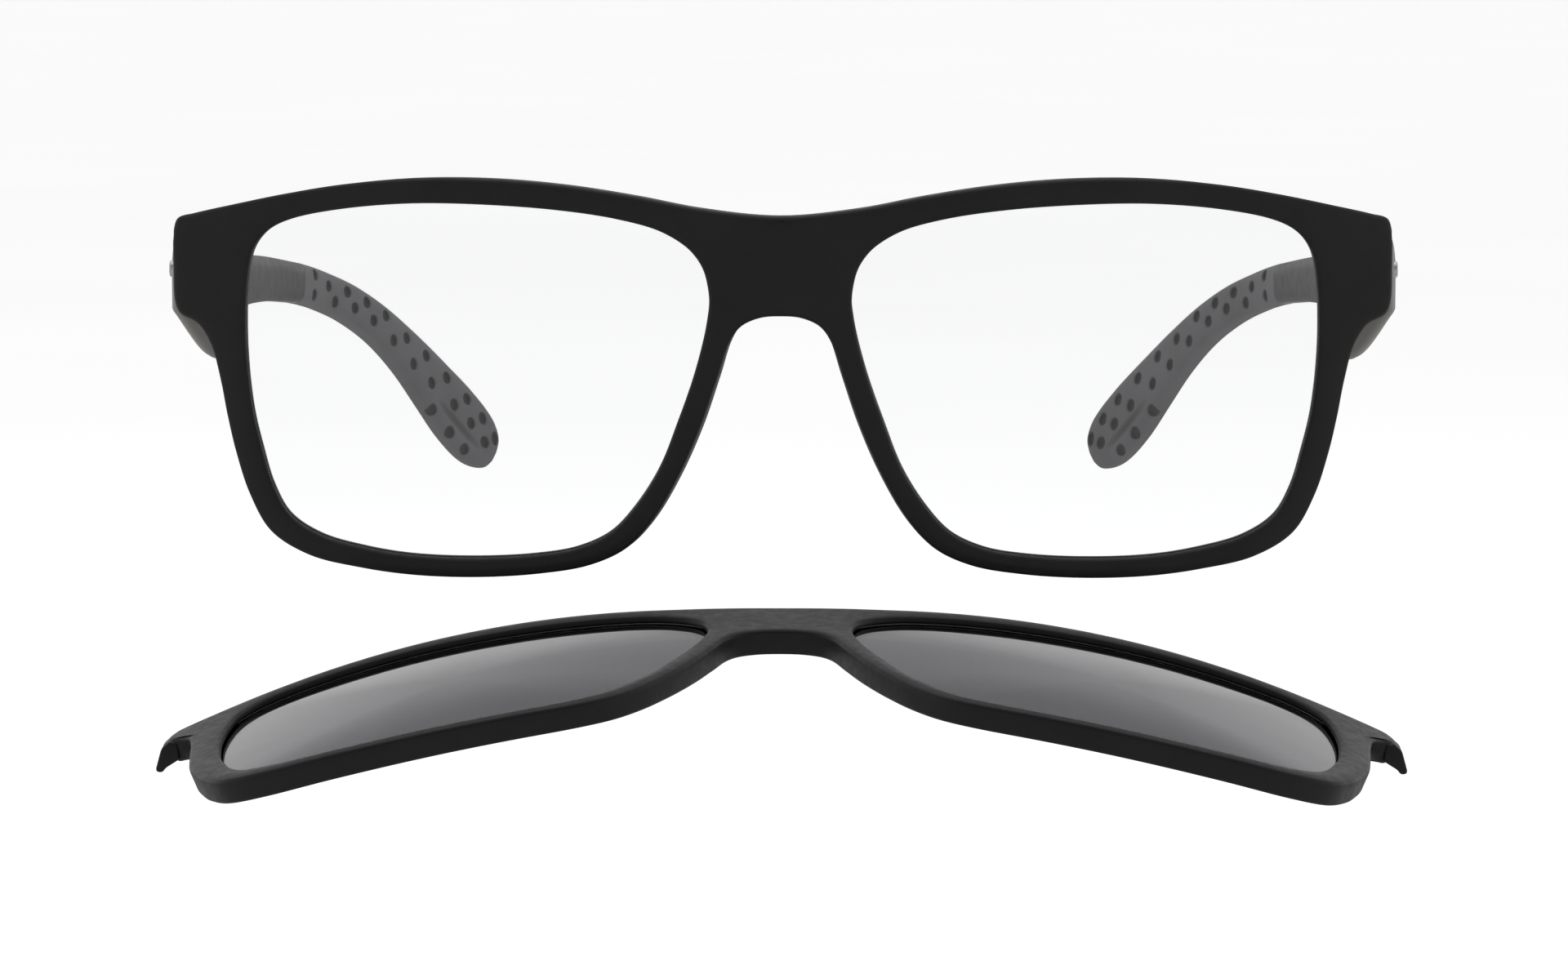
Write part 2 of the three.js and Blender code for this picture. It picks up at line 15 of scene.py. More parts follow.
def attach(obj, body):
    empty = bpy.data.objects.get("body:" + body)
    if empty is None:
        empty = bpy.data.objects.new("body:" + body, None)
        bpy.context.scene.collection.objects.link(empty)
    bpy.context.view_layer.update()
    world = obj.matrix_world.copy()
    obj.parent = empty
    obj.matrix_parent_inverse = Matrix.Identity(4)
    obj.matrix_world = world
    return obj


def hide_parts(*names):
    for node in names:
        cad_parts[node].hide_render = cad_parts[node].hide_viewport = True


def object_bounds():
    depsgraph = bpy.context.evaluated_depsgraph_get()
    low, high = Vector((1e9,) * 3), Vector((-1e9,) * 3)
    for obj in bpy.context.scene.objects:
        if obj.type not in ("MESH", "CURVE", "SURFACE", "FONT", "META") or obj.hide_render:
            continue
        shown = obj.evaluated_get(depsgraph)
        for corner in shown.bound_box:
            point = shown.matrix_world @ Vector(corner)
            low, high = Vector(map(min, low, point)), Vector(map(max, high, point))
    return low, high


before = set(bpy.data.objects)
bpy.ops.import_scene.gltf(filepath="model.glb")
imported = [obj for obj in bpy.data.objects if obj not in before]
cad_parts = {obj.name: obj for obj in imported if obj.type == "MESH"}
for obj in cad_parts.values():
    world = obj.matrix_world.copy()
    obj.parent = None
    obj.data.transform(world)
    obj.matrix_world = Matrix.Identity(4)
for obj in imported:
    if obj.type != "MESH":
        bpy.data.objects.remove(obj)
CAD_BOX = [list(corner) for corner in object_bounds()]

MM = 0.001
WELD = 1e-4  # points closer than this are one
SIDES = (("right", 1), ("left", -1))

# ---- driving dimensions, the same as the construction's ---------------------------------

WRAP_RADIUS = 176.0  # the front curves back round an upright axis
FRONT_Y = -3.0  # the outer surface at the middle of the bridge
WRAP_CENTRE_Y = FRONT_Y + WRAP_RADIUS
FIT_GAP = 0.3
LENS_BITE = 0.5  # how far a lens reaches into its groove
END_X = 72.5
END_FRONT_Y = 12.0
END_BACK_Y = 18.0
MAGNET_Z = 8.6
POCKET_DEPTH = 3.0
FRAME_MAGNET = {"x": 71.5, "y": 14.3, "radius": 1.0, "length": 1.6}
CLIP_MAGNET = {"x": 72.5, "y": 10.8, "radius": 0.8, "length": 1.2}
LEAF_POCKET = ((65.3, 68.7), (15.3, 19.0), (1.9, 7.7))  # x, y and z from and to
TANG_POCKET = ((68.4, 71.3), (23.1, 30.3), (2.5, 7.1))
STUD = {"x": 73.95, "y": 22.0, "z": 4.1, "radius": 1.0, "length": 0.9}
LOW_STUD = {**STUD, "x": 73.8, "length": 0.6}  # the stud with its head almost flush
STUD_EDGE = 0.12
CUTTER_EDGE = 0.02  # of the discs that cut holes

# Depths are counted back from the outer surface of the front, and the clip-on's lie before it.
# A back of None follows the ribs. The outer edge is rounder at the end pieces, by end_share.
FRONT = {
    "face": 0.0, "back": None, "edge": 0.6, "end_share": 0.5, "back_edge": 0.7,
    "groove": (0.9, 2.9), "deep": 0.8,
}
CLIP = {
    "face": -3.29, "back": -0.3, "edge": 0.55, "end_share": 0.0, "back_edge": 0.4,
    "groove": (-2.5, -0.9), "deep": 0.8,
}
FRONT_LENS = {"depths": (1.2, 2.6), "bulge": 0.5}
CLIP_LENS = {"depths": (-2.2, -1.2), "bulge": 0.9}
FACE_CROWN = 0.1  # the face falls away by this much towards its edges
BRIDGE = (2.0, 16.0)  # the crown comes in over these distances from the middle
END_PIECE = (68.0, 73.0)  # where the end pieces begin and where they are full, along the face

REST_TILT = math.radians(84)
REST_AXIS = (2.4, -52.1)  # y, z of the clip-on's magnet line where it is laid down
CLIP_INSET = 0.004  # keeps the lowest edge of the clip-on within its own size

# One row per rib of the right half, clockwise from the middle of the brow as seen from the
# front: opening x, z; outline x, z; depth of the rim. x is measured along the curved face.
RIBS = [
    (11.2, 8.2, 0, 11.6, 4.6), (14.2, 9.9, 9.5, 12.5, 4.4), (19.0, 11.2, 17.0, 13.9, 4.0),
    (25.5, 12.15, 25.2, 15.1, 4.0), (34.0, 12.75, 34.0, 15.8, 4.0), (43.5, 12.85, 43.5, 15.8, 4.0),
    (52.0, 12.15, 52.5, 15.0, 4.0), (58.5, 10.95, 60.5, 13.7, 4.2), (61.4, 9.8, 67.0, 12.4, 4.5),
    (63.0, 8.5, 72.3, 11.3, 4.5), (64.0, 7.0, 74.5, 10.7, 4.5), (64.5, 5.2, 75.05, 9.5, 4.5),
    (64.8, 3.0, 75.2, 5.0, 4.5), (65.0, 0.8, 75.0, 0.6, 4.5), (65.05, -1.0, 74.3, -0.75, 4.5),
    (65.05, -3.0, 71.75, -2.0, 4.5), (64.95, -5.2, 70.0, -4.4, 4.3), (64.65, -8.5, 68.75, -8.5, 4.0),
    (64.05, -12.5, 67.85, -12.7, 4.0), (63.0, -16.5, 66.75, -17.0, 4.0),
    (61.6, -20.8, 64.95, -22.0, 4.0), (59.5, -24.2, 62.2, -26.3, 4.0),
    (55.6, -26.5, 57.2, -29.0, 4.0), (50.0, -27.85, 50.5, -30.3, 4.0),
    (44.0, -28.6, 44.0, -30.95, 4.0), (36.0, -28.7, 36.0, -31.0, 4.0), (28.8, -28.2, 28.4, -30.4, 4.0),
    (23.9, -27.3, 22.5, -29.3, 4.0), (20.0, -25.5, 18.2, -27.3, 4.4), (17.2, -22.6, 15.1, -24.1, 5.2),
    (14.3, -18.1, 12.0, -18.9, 6.6), (12.1, -12.6, 9.4, -13.1, 7.6), (10.2, -7.2, 7.4, -7.4, 7.8),
    (9.0, -2.8, 5.9, -3.0, 7.2), (8.5, -0.2, 4.6, -1.2, 6.2), (8.3, 1.7, 2.4, -0.2, 5.4),
    (8.5, 3.6, 0, 0, 5.0), (9.0, 5.4, 0, 4, 4.8), (9.9, 6.9, 0, 8, 4.7),
]
MIDDLE_ROW = 36  # the outline reaches the middle of the bridge again here
CLIP_END_ROW = 10  # the clip-on's own outline replaces the rows from here
CLIP_END = [
    (72.9, 10.6), (73.4, 9.6), (73.4, 8.4), (72.9, 7.3),
    (71.6, 6.4), (70.4, 4.8), (69.5, 0.6), (68.8, -5.6),
]
RIB_STEPS = 8
LENS_CENTRE = (37.0, -7.5)

# The end piece behind the rim, in plan (x, y) and from the front (x, z), and the clip-on's hook
# in plan.
END_IN_X = 64.6
END_PLAN = [
    (END_IN_X, 14.5), (67.5, 13.2), (END_X - 0.6, 12.9), (END_X, 13.5),
    (END_X, END_BACK_Y), (END_IN_X, END_BACK_Y),
]
END_VIEW = [
    (END_IN_X, 0.6), (71.2, 0.6), (72.1, 1.0), (END_X, 1.8),
    (END_X, 8.8), (72.2, 9.8), (71.4, 10.6), (END_IN_X, 11.2),
]
END_HEIGHTS = (0, 12)
END_EDGE = 0.25
HOOK = [
    (71.0, 9.2), (72.1, 9.0), (73.1, 9.9), (73.8, 12.4),
    (73.6, 12.75), (72.95, 12.75), (72.65, 12.25), (71.0, 11.2),
]
HOOK_HEIGHTS = (6.7, 10.1)
HOOK_EDGE = 0.3

# Sections of the right temple and sleeve: x, y, z of the centre, half thickness, half height, and
# how far the foot of the section leans inwards.
SLEEVE_START = 93.0
TEMPLE = [
    (71.5, END_BACK_Y + 0.5, 1.0, 1.85, 7.6, 3.7), (71.55, 20, 1.0, 1.9, 7.6, 3.65),
    (72.0, 23, 1.0, 2.0, 7.6, 3.4), (72.2, 28, 1.1, 2.05, 7.3, 3.0), (71.8, 38, 1.2, 1.95, 6.0, 1.8),
    (71.1, 50, 0.9, 1.75, 4.3, 0.5), (70.0, 63, 0.3, 1.65, 3.4, 0), (68.4, 78, -0.5, 1.75, 2.95, 0),
    (66.0, SLEEVE_START, -1.9, 1.85, 2.7, 0),
]
LEAN = {"from": 0.25, "power": 0.9}  # it starts this share of the half height below the middle
SECTION_POWER = 2 / 3.6  # of cosine and sine in a section, which squares its sides
SLENDERNESS = 0.35  # of a usual section, for spacing its points
SLEEVE = [
    (66.0, SLEEVE_START, -1.9, 1.9, 2.75, 0), (64.9, 99, -2.7, 1.9, 2.7, 0),
    (63.4, 105, -3.8, 1.9, 2.65, 0), (60.5, 112, -5.9, 1.8, 2.7, 0), (57.0, 120, -9.4, 1.75, 2.85, 0),
    (53.6, 128, -14.0, 1.75, 3.3, 0), (50.2, 135, -19.3, 1.75, 4.1, 0), (47.2, 140, -23.9, 1.7, 4.6, 0),
    (45.0, 143.3, -27.0, 1.55, 4.4, 0), (43.6, 145.1, -28.8, 1.35, 3.65, 0),
    (42.7, 146.2, -29.9, 1.0, 2.6, 0), (42.3, 146.7, -30.4, 0.6, 1.3, 0),
]
SLEEVE_INSET = 0.04  # keeps the rounded tip within the sleeve's own size
TIP_REACH = 0.06
SPLAY = math.radians(0.7)  # how far each temple stands open beyond the square
HINGE = (67.0, 20.4)  # x, y of the pin
FRONT_ROUNDING = 0.8  # of the temple's front edges
ARM_MESH = {"spacing": 0.8, "sides": 96}
SLEEVE_MESH = {"spacing": 0.2, "sides": 112}
# Dimples of the sleeve's inner face: distance along the sleeve, height as a share of its half.
DIMPLES = [
    (5.4, 0.53), (11.2, 0.2), (17.5, 0.35), (23.4, 0.39), (29.4, 0.43), (36.5, 0.28), (42.9, 0.41),
    (49.5, 0.46), (55.6, 0.53), (60.6, 0.53), (64.9, 0.53),
    (5.2, -0.48), (14.1, -0.44), (20.3, -0.25), (26.2, -0.24), (33.0, -0.35), (40.3, -0.39),
    (46.4, -0.25), (53.4, -0.02), (58.6, 0.04), (63.2, 0.0),
    (49.5, -0.87), (55.3, -0.79), (59.9, -0.76),
]
DIMPLE = {"along": 1.15, "up": 0.85, "deep": 0.55}
CREASE = {"from": (48.0, -0.45), "to": (64.5, -0.3), "width": 0.8, "deep": 0.16}
RELIEF_FADE = 1.5  # how fast dimples and crease die away round the section's edges


# ---- curves and meshes ------------------------------------------------------------------

def through(points, t, closed=False):
    """Points of a centripetal Catmull-Rom curve through the rows, at t counted in rows."""
    rows = np.asarray(points, float)
    t = np.asarray(t, float)
    count = len(rows)
    i = np.floor(t).astype(int)
    if closed:
        near = [rows[(i + k) % count] for k in (-1, 0, 1, 2)]
    else:
        i = np.clip(i, 0, count - 2)
        padded = np.vstack([2 * rows[0] - rows[1], rows, 2 * rows[-1] - rows[-2]])
        near = [padded[i + k] for k in range(4)]
    a, b, c, d = near
    u = (t - i)[:, None]
    chords = [np.linalg.norm(q - p, axis=1) for p, q in zip(near, near[1:])]
    gap = [np.sqrt(np.maximum(chord, 1e-9))[:, None] for chord in chords]
    start = ((b - a) / gap[0] - (c - a) / (gap[0] + gap[1]) + (c - b) / gap[1]) * gap[1]
    end = ((c - b) / gap[1] - (d - b) / (gap[1] + gap[2]) + (d - c) / gap[2]) * gap[1]
    square = -3 * b + 3 * c - 2 * start - end
    cube = 2 * b - 2 * c + start + end
    return b + start * u + square * u**2 + cube * u**3


def normals_of(line):
    """Unit normals to the left of a closed line of 2-D points."""
    step = np.roll(line, -1, axis=0) - np.roll(line, 1, axis=0)
    left = np.column_stack([-step[:, 1], step[:, 0]])
    return left / np.linalg.norm(left, axis=1)[:, None]


def on_curve(side, points, depth):
    """Points at arc length x and height z, depth behind the outer surface of the front."""
    angle = side * points[:, 0] / WRAP_RADIUS
    radius = WRAP_RADIUS - depth
    return np.column_stack([radius * np.sin(angle), WRAP_CENTRE_Y - radius * np.cos(angle), points[:, 1]])


def straight_wall(points, depth):
    """Points of an opening whose wall runs straight back, parallel to Y, at a depth."""
    across = WRAP_RADIUS * np.sin(points[:, 0] / WRAP_RADIUS)
    return np.column_stack([WRAP_RADIUS * np.arcsin(across / (WRAP_RADIUS - depth)), points[:, 1]])


def square_wall(points, depth):
    """The same for a wall that is square to the face."""
    return points


def new_mesh(name, points, faces, pits=None):
    """A closed mesh object from millimetre points, with loose points removed. pits is kept as an
    attribute: how deep each point is pressed in, from 0 to 1."""
    mesh = bpy.data.meshes.new(name)
    mesh.from_pydata([tuple(p) for p in np.asarray(points)], [], faces)
    bm = bmesh.new()
    bm.from_mesh(mesh)
    if pits is not None:
        layer = bm.verts.layers.float.new("pit")
        for vertex, pit in zip(bm.verts, pits):
            vertex[layer] = pit
    bmesh.ops.delete(bm, geom=[v for v in bm.verts if not v.link_faces], context="VERTS")
    bmesh.ops.remove_doubles(bm, verts=bm.verts, dist=WELD)
    bmesh.ops.recalc_face_normals(bm, faces=bm.faces)
    bm.to_mesh(mesh)
    bm.free()
    made = bpy.data.objects.new(name, mesh)
    bpy.context.scene.collection.objects.link(made)
    return made


def ring_faces(rings, size, closed):
    """Quads between neighbouring rings of size points each."""
    faces = []
    for i in range(rings if closed else rings - 1):
        j = (i + 1) % rings
        for k in range(size):
            after = (k + 1) % size
            faces.append((i * size + k, i * size + after, j * size + after, j * size + k))
    return faces


def rounded_prism(name, corners, z0, z1, radius):
    """An outline of (x, y) corners raised from z0 to z1, with rounded edges."""
    count = len(corners)
    points = [(x, y, z) for z in (z0, z1) for x, y in corners]
    faces = [tuple(range(count)), tuple(range(count, 2 * count))]
    faces += [(k, (k + 1) % count, count + (k + 1) % count, count + k) for k in range(count)]
    made = new_mesh(name, points, faces)
    if radius:
        bm = bmesh.new()
        bm.from_mesh(made.data)
        bmesh.ops.bevel(bm, geom=bm.edges[:], offset=radius, segments=3, affect="EDGES", profile=0.5)
        bm.to_mesh(made.data)
        bm.free()
    return made


def upright_prism(name, corners, y0, y1, radius):
    """An outline of (x, z) corners carried from y0 to y1, with rounded edges."""
    made = rounded_prism(name, corners, -y1, -y0, radius)
    made.data.transform(Matrix.Rotation(math.pi / 2, 4, "X"))
    return made


def box_between(name, side, xs, ys, zs):
    """A sharp box, mirrored for the left side."""
    corners = [(side * xs[0], ys[0]), (side * xs[1], ys[0]), (side * xs[1], ys[1]), (side * xs[0], ys[1])]
    return rounded_prism(name, corners, zs[0], zs[1], 0)


def turned(name, profile, sides=48):
    """A body turned about X from (x, radius) points that start and end on the axis."""
    points = []
    for x, radius in profile:
        for k in range(sides):
            angle = 2 * math.pi * k / sides
            points.append((x, radius * math.cos(angle), radius * math.sin(angle)))
    return new_mesh(name, points, ring_faces(len(profile), sides, False))


def disc(name, side, place, height, chamfer):
    """A round disc lying along X, at a height."""
    half = place["length"] / 2
    radius = place["radius"]
    profile = [(-half, 0), (-half, radius - chamfer), (-half + chamfer, radius)]
    profile += [(half - chamfer, radius), (half, radius - chamfer), (half, 0)]
    made = turned(name, profile)
    made.data.transform(Matrix.Translation((side * place["x"], place["y"], height)))
    return made


def combine(base, pieces, operation):
    """Joins the pieces to base or cuts them from it, and removes them."""
    for piece in pieces:
        modifier = base.modifiers.new(operation, "BOOLEAN")
        modifier.operation = operation
        modifier.solver = "EXACT"
        modifier.object = piece
        settle(base)
        bpy.data.objects.remove(piece)
    return base


def settle(made):
    """Puts an object's modifiers into its mesh."""
    bpy.context.view_layer.update()
    evaluated = made.evaluated_get(bpy.context.evaluated_depsgraph_get())
    mesh = bpy.data.meshes.new_from_object(evaluated)
    made.modifiers.clear()
    made.data = mesh


def finished(made, body, nodes, material, sharp=35):
    """Scales a piece to metres, smooths it and hangs it on its body in place of its CAD nodes. The
    clip-on lies apart, and its lenses mirror the studio only, not the spectacles above them."""
    made.visible_glossy = body == "clip_on"
    made.data.transform(Matrix.Scale(MM, 4))
    made.data.shade_smooth()
    made.data.set_sharp_from_angle(angle=math.radians(sharp))
    made.data.materials.clear()
    made.data.materials.append(material)
    made.data.name = made.name
    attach(made, body)
    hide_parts(*nodes)
    return made


# ---- the two fronts ---------------------------------------------------------------------

def clip_ribs():
    """The ribs with the clip-on's own outline at the end."""
    rows = list(RIBS)
    for i, outline in enumerate(CLIP_END, CLIP_END_ROW):
        rows[i] = (*RIBS[i][:2], *outline, RIBS[i][4])
    return rows


def stations_of(rows):
    """Matched points of opening and outline with their normals into the material. Past the middle
    row both halves meet in the middle plane, and the outline's points lie in it."""
    table = np.array(rows, float)
    t = np.arange(len(rows) * RIB_STEPS) / RIB_STEPS
    row = np.floor(t).astype(int)
    opening = through(table[:, :2], t, closed=True)
    after = table[(row + 1) % len(rows)]
    straight = table[row] + (after - table[row]) * (t % 1)[:, None]
    middle = t > MIDDLE_ROW
    half = table[: MIDDLE_ROW + 1, 2:4]
    half = np.vstack([half[1] * (-1, 1), half, half[-2] * (-1, 1)])
    outer = through(half, np.minimum(t, MIDDLE_ROW) + 1)
    outer[middle] = np.column_stack([np.zeros(middle.sum()), straight[middle, 3]])
    outer_normal = -normals_of(outer)
    bottom = MIDDLE_ROW * RIB_STEPS
    outer[[0, bottom], 0] = 0
    outer_normal[0] = (0, -1)
    outer_normal[bottom] = (0, 1)
    return {
        "opening": opening,
        "outer": outer,
        "opening_normal": normals_of(opening),
        "outer_normal": outer_normal,
        "middle": middle,
        "depth": straight[:, 4],
    }


def share_between(values, start, end):
    """0 up to start, 1 from end and even between them."""
    return np.clip((values - start) / (end - start), 0, 1)


def corner(radius, steps=5):
    """(inset, drop) pairs round a quarter turn, from the wall to the face."""
    angles = np.linspace(0, math.pi / 2, steps + 1)
    return [(radius * (1 - math.cos(a)), radius * (1 - math.sin(a))) for a in angles]


def rim_section(stations, shape, wall_at):
    """Rings of a rim's section as (points, depths): up the outer wall, over the face, down the
    inner wall with its lens groove, and across the back. Also how many rings make the wall."""
    face = shape["face"]
    middle = stations["middle"]
    level = np.zeros(len(middle))
    back = stations["depth"] if shape["back"] is None else level + shape["back"]
    across = np.linspace(0, 1, 9)[1:-1]

    def from_outer(inset, depth):
        step = np.where(middle, 0, inset)[:, None]
        return stations["outer"] + stations["outer_normal"] * step, depth + level

    def from_opening(inset, depth):
        return wall_at(stations["opening"] + stations["opening_normal"] * inset, depth + level), depth + level

    edge, back_edge = shape["edge"], shape["back_edge"]
    reach = stations["outer"][:, 0]
    swell = share_between(reach, *BRIDGE)
    swell = swell**2 * (3 - 2 * swell)
    rise = face + FACE_CROWN * swell
    outer_edge = edge * (1 + shape["end_share"] * share_between(reach, *END_PIECE))
    rings = [from_outer(inset, back - drop) for inset, drop in reversed(corner(back_edge))]
    rings += [from_outer(inset * outer_edge, rise + drop * outer_edge) for inset, drop in corner(1)]
    wall = len(rings)
    rim, lip = rings[-1][0], from_opening(edge, 0)[0]
    for share in across:
        fall = (swell * (2 * share - 1) ** 2 + (1 - swell) * share**2) * FACE_CROWN
        rings.append((rim + (lip - rim) * share, face + fall))
    rings += [from_opening(inset, face + drop + FACE_CROWN) for inset, drop in reversed(corner(edge))]
    groove_from, groove_to = shape["groove"]
    deep = shape["deep"]
    rings += [from_opening(0, groove_from), from_opening(deep, groove_from)]
    rings += [from_opening(deep, groove_to), from_opening(0, groove_to)]
    rings += [from_opening(inset, back - drop) for inset, drop in corner(back_edge / 2, 3)]
    inside, outside = rings[-1][0], rings[0][0]
    rings += [(inside + (outside - inside) * share, back + level) for share in across]
    return rings, wall


def front_body(name, stations, shape, wall_at):
    """Both rims and the bridge as one closed body: the halves leave out the wall between them."""
    rings, wall = rim_section(stations, shape, wall_at)
    size = len(rings)
    count = len(stations["depth"])
    middle = stations["middle"]
    points, faces = [], []
    for side in (1, -1):
        start = len(points)
        placed = np.array([on_curve(side, p, depth) for p, depth in rings])
        points.extend(placed.transpose(1, 0, 2).reshape(-1, 3))
        for i in range(count):
            j = (i + 1) % count
            in_bridge = middle[i] or middle[j]
            for k in range(size):
                if in_bridge and k < wall - 1:
                    continue
                after = (k + 1) % size
                quad = (i * size + k, i * size + after, j * size + after, j * size + k)
                faces.append(tuple(start + q for q in quad))
    return new_mesh(name, points, faces)


def lens_body(name, stations, side, lens, wall_at):
    """A lens whose edge sits in the groove, domed forwards by its bulge."""
    shares = np.sin(np.linspace(1, 0.04, 20) * math.pi / 2)
    edge = (stations["opening"] + stations["opening_normal"] * LENS_BITE)[::2]
    centre = np.array(LENS_CENTRE)
    bulge = lens["bulge"]
    count = len(edge)
    rings = []
    for depth in lens["depths"]:
        rim = wall_at(edge, depth)
        layer = [on_curve(side, centre + (rim - centre) * s, depth - bulge * (1 - s * s)) for s in shares]
        hub = on_curve(side, centre[None], np.array([depth - bulge]))
        layer.append(np.repeat(hub, count, axis=0))
        rings.append(layer)
    stacked = np.array(rings[0][::-1] + rings[1])
    return new_mesh(name, stacked.reshape(-1, 3), ring_faces(len(stacked), count, False))


def mirrored(corners, side):
    """An outline for the given side."""
    return [(side * x, y) for x, y in corners]


def pocket(side, magnet):
    """The round hole of a magnet disc, open towards the side."""
    middle = magnet["x"] - magnet["length"] / 2 - FIT_GAP + POCKET_DEPTH / 2
    hole = {"x": middle, "y": magnet["y"], "radius": magnet["radius"] + FIT_GAP, "length": POCKET_DEPTH}
    return disc("pocket", side, hole, MAGNET_Z, CUTTER_EDGE)


def spectacle_front(stations, material):
    """Rims, bridge and the two end pieces that the temples butt on."""
    made = front_body("rims_and_bridge", stations, FRONT, straight_wall)
    for _, side in SIDES:
        end = rounded_prism("end", mirrored(END_PLAN, side), *END_HEIGHTS, END_EDGE)
        view = upright_prism("view", mirrored(END_VIEW, side), END_FRONT_Y, END_BACK_Y + 1, 0)
        combine(end, [view], "INTERSECT")
        combine(made, [end], "UNION")
        combine(made, [pocket(side, FRAME_MAGNET), box_between("leaf", side, *LEAF_POCKET)], "DIFFERENCE")
    return finished(made, "front", ["front_frame"], material)


def to_rest(made):
    """Carries a piece modelled in its worn place to where the clip-on is laid."""
    turn = Euler((-REST_TILT, 0, 0)).to_matrix().to_4x4()
    axis = turn @ Vector((0, CLIP_MAGNET["y"], MAGNET_Z))
    shift = (0, REST_AXIS[0] - axis.y + CLIP_INSET, REST_AXIS[1] - axis.z)
    made.data.transform(Matrix.Translation(shift) @ turn)
    return made


def clip_front(stations, material):
    """The clip-on's rims and bridge with a hook at each end."""
    made = front_body("clip_rims_and_hooks", stations, CLIP, square_wall)
    for _, side in SIDES:
        combine(made, [rounded_prism("hook", mirrored(HOOK, side), *HOOK_HEIGHTS, HOOK_EDGE)], "UNION")
        combine(made, [pocket(side, CLIP_MAGNET)], "DIFFERENCE")
    return finished(to_rest(made), "clip_on", ["clip_frame"], material)


# ---- temples ----------------------------------------------------------------------------

def path_of(sections, spacing):
    """Evenly spaced sections through the given ones, with their distance along the path."""
    t = np.linspace(0, len(sections) - 1, 400)
    fine = through(sections, t)
    length = np.concatenate([[0], np.cumsum(np.linalg.norm(np.diff(fine[:, :3], axis=0), axis=1))])
    along = np.linspace(0, length[-1], int(length[-1] / spacing) + 1)
    return along, np.column_stack([np.interp(along, length, column) for column in fine.T])


def squared(angles):
    """Points round a rounded section, as shares of its half thickness and half height."""
    c, s = np.cos(angles), np.sin(angles)
    return np.sign(c) * np.abs(c) ** SECTION_POWER, np.sign(s) * np.abs(s) ** SECTION_POWER


def even_angles(sides):
    """The angles that space points evenly round a slender section."""
    fine = np.linspace(0, 2 * math.pi, 20001)
    wide, tall = squared(fine)
    run = np.concatenate([[0], np.cumsum(np.hypot(SLENDERNESS * np.diff(wide), np.diff(tall)))])
    return np.interp(run[-1] * (np.arange(sides) + 0.5) / sides, run, fine)


def loft(name, side, along, sections, sides, shaped=None):
    """A body through rounded sections square to its path. shaped(along, tall, high) says how far
    the inner face is pressed in round one section."""
    centres = sections[:, :3] * (side, 1, 1)
    path = np.gradient(centres, axis=0)
    path /= np.linalg.norm(path, axis=1)[:, None]
    across = np.cross(path, (0, 0, 1))
    across /= np.linalg.norm(across, axis=1)[:, None]
    upward = np.cross(across, path)
    inward = -side * np.sign(across[:, :1])
    wide, tall = squared(even_angles(sides))
    fade = np.minimum(1, np.abs(wide) * RELIEF_FADE)
    foot = (np.maximum(0, -tall - LEAN["from"]) / (1 - LEAN["from"])) ** LEAN["power"]
    pits = np.zeros((len(sections) + 2, sides))
    rings = [np.repeat(centres[:1], sides, axis=0)]
    for i, (_, _, _, thick, high, lean) in enumerate(sections):
        press = np.zeros(sides)
        if shaped:
            press = np.where(wide * inward[i] > 0, shaped(along[i], tall, high) * fade, 0)
            pits[i + 1] = press / DIMPLE["deep"]
        offset = wide * thick - inward[i] * press
        ring = centres[i] + np.outer(offset, across[i]) + np.outer(tall * high, upward[i])
        ring[:, 0] -= side * lean * foot
        rings.append(ring)
    rings.append(np.repeat(centres[-1:], sides, axis=0))
    return new_mesh(name, np.array(rings).reshape(-1, 3), ring_faces(len(rings), sides, False), pits.ravel())


def grip_relief(along, tall, high):
    """Depth of the dimples and of the crease at one section of the sleeve."""
    height = tall * high
    press = np.zeros(len(tall))
    for place, up in DIMPLES:
        if abs(along - place) < DIMPLE["along"]:
            far = ((along - place) / DIMPLE["along"]) ** 2 + ((height - up * high) / DIMPLE["up"]) ** 2
            press = np.maximum(press, DIMPLE["deep"] * np.clip(1 - far**2, 0, 1))
    (start, low), (end, top) = CREASE["from"], CREASE["to"]
    share = (along - start) / (end - start)
    if 0 < share < 1:
        line = (low + (top - low) * share) * high
        depth = CREASE["deep"] * math.sin(math.pi * share) ** 0.7
        press = press + depth * np.exp(-(((height - line) / CREASE["width"]) ** 2))
    return press


def rounded_end(sections, steps=10):
    """The last section drawn in to a small flat at the tip, a little beyond the others."""
    last, before = sections[-1], sections[-2]
    path = (last[:3] - before[:3]) / np.linalg.norm(last[:3] - before[:3])
    extra = []
    for a in np.linspace(0, math.pi / 2, steps + 1)[1:]:
        shrink = max(math.cos(a), 0.02)
        extra.append([*(last[:3] + path * TIP_REACH * math.sin(a)), last[3] * shrink, last[4] * shrink, 0])
    return np.array(extra)


def rounded_start(front, steps=5):
    """Sections that grow to the full one at the front, with rounded edges."""
    extra = []
    for a in np.linspace(0, math.pi / 2, steps + 1)[:-1]:
        inset, set_back = FRONT_ROUNDING * (1 - math.sin(a)), FRONT_ROUNDING * (1 - math.cos(a))
        extra.append([front[0], front[1] + set_back, front[2], front[3] - inset, front[4] - inset, front[5]])
    return np.array(extra)


def opened(made, side):
    """Turns a piece of a temple to where that temple stands open."""
    pin = Vector((side * HINGE[0], HINGE[1], 0))
    turn = Matrix.Rotation(-side * SPLAY, 4, "Z")
    made.data.transform(Matrix.Translation(pin) @ turn @ Matrix.Translation(-pin))
    return made


